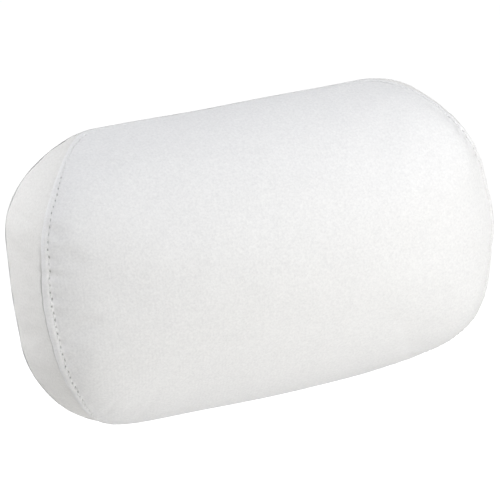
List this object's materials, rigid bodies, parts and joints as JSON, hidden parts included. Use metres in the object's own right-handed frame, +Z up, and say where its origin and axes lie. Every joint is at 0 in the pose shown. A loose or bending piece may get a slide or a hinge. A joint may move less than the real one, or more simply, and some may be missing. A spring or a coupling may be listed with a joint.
{
  "type": "bath pillow",
  "caption": "Crowned foam bath pillow in a white sewn cover with curved end panels, zipped at the back and held on a wall by suction cups",
  "frame": {"origin": "on the wall plane, at the middle of the four suction cups", "axes": "+X along the pillow's width, to the right of someone facing its front; +Y into the wall behind it; +Z up"},
  "size_m": [0.3078, 0.089, 0.192],
  "materials": {
    "cover_cloth": "matt fine-grained white polyester knit",
    "end_cloth": "matt fine-grained white polyester knit, slightly warm",
    "thread": "twisted polyester sewing thread",
    "foam": "open-cell polyurethane foam, cream",
    "zip_tape": "woven white polyester tape",
    "zip_teeth": "white moulded acetal",
    "zip_metal": "nickel plate",
    "eyelet_metal": "nickel plate",
    "cup_vinyl": "clear soft vinyl"
  },
  "bodies": {
    "pillow": {"foam_core": "foam", "front_cover": "cover_cloth", "end_panel_left": "end_cloth", "end_panel_right": "end_cloth", "back_panel_upper": "cover_cloth", "back_panel_lower": "cover_cloth", "topstitch_left": "thread", "topstitch_right": "thread", "zip_tape_upper": "zip_tape", "zip_tape_lower": "zip_tape", "zip_teeth_upper": "zip_teeth", "zip_teeth_lower": "zip_teeth", "zip_top_stop_upper": "zip_metal", "zip_top_stop_lower": "zip_metal", "zip_bottom_stop": "zip_metal", "eyelet_upper_left": "eyelet_metal", "eyelet_washer_upper_left": "eyelet_metal", "eyelet_upper_right": "eyelet_metal", "eyelet_washer_upper_right": "eyelet_metal", "eyelet_lower_left": "eyelet_metal", "eyelet_washer_lower_left": "eyelet_metal", "eyelet_lower_right": "eyelet_metal", "eyelet_washer_lower_right": "eyelet_metal"},
    "slider": {"zip_slider": "zip_metal"},
    "pull": {"zip_pull": "zip_metal"},
    "cup_upper_left": {"suction_cup_upper_left": "cup_vinyl"},
    "cup_upper_right": {"suction_cup_upper_right": "cup_vinyl"},
    "cup_lower_left": {"suction_cup_lower_left": "cup_vinyl"},
    "cup_lower_right": {"suction_cup_lower_right": "cup_vinyl"}
  },
  "joints": [
    {"name": "zip_slide", "type": "slide", "parent": "pillow", "child": "slider", "axis": [-1, 0, 0], "range_m": [0, 0.197]},
    {"name": "pull_flip", "type": "hinge", "parent": "slider", "child": "pull", "pos_m": [0.0987, -0.0096, 0], "axis": [0, 0, -1], "range_deg": [0, 180]},
    {"name": "cup_upper_left_turn", "type": "hinge", "parent": "pillow", "child": "cup_upper_left", "pos_m": [-0.094, -0.014, 0.048], "axis": [0, 1, 0], "continuous": true},
    {"name": "cup_upper_right_turn", "type": "hinge", "parent": "pillow", "child": "cup_upper_right", "pos_m": [0.094, -0.014, 0.048], "axis": [0, 1, 0], "continuous": true},
    {"name": "cup_lower_left_turn", "type": "hinge", "parent": "pillow", "child": "cup_lower_left", "pos_m": [-0.094, -0.014, -0.048], "axis": [0, 1, 0], "continuous": true},
    {"name": "cup_lower_right_turn", "type": "hinge", "parent": "pillow", "child": "cup_lower_right", "pos_m": [0.094, -0.014, -0.048], "axis": [0, 1, 0], "continuous": true}
  ]
}
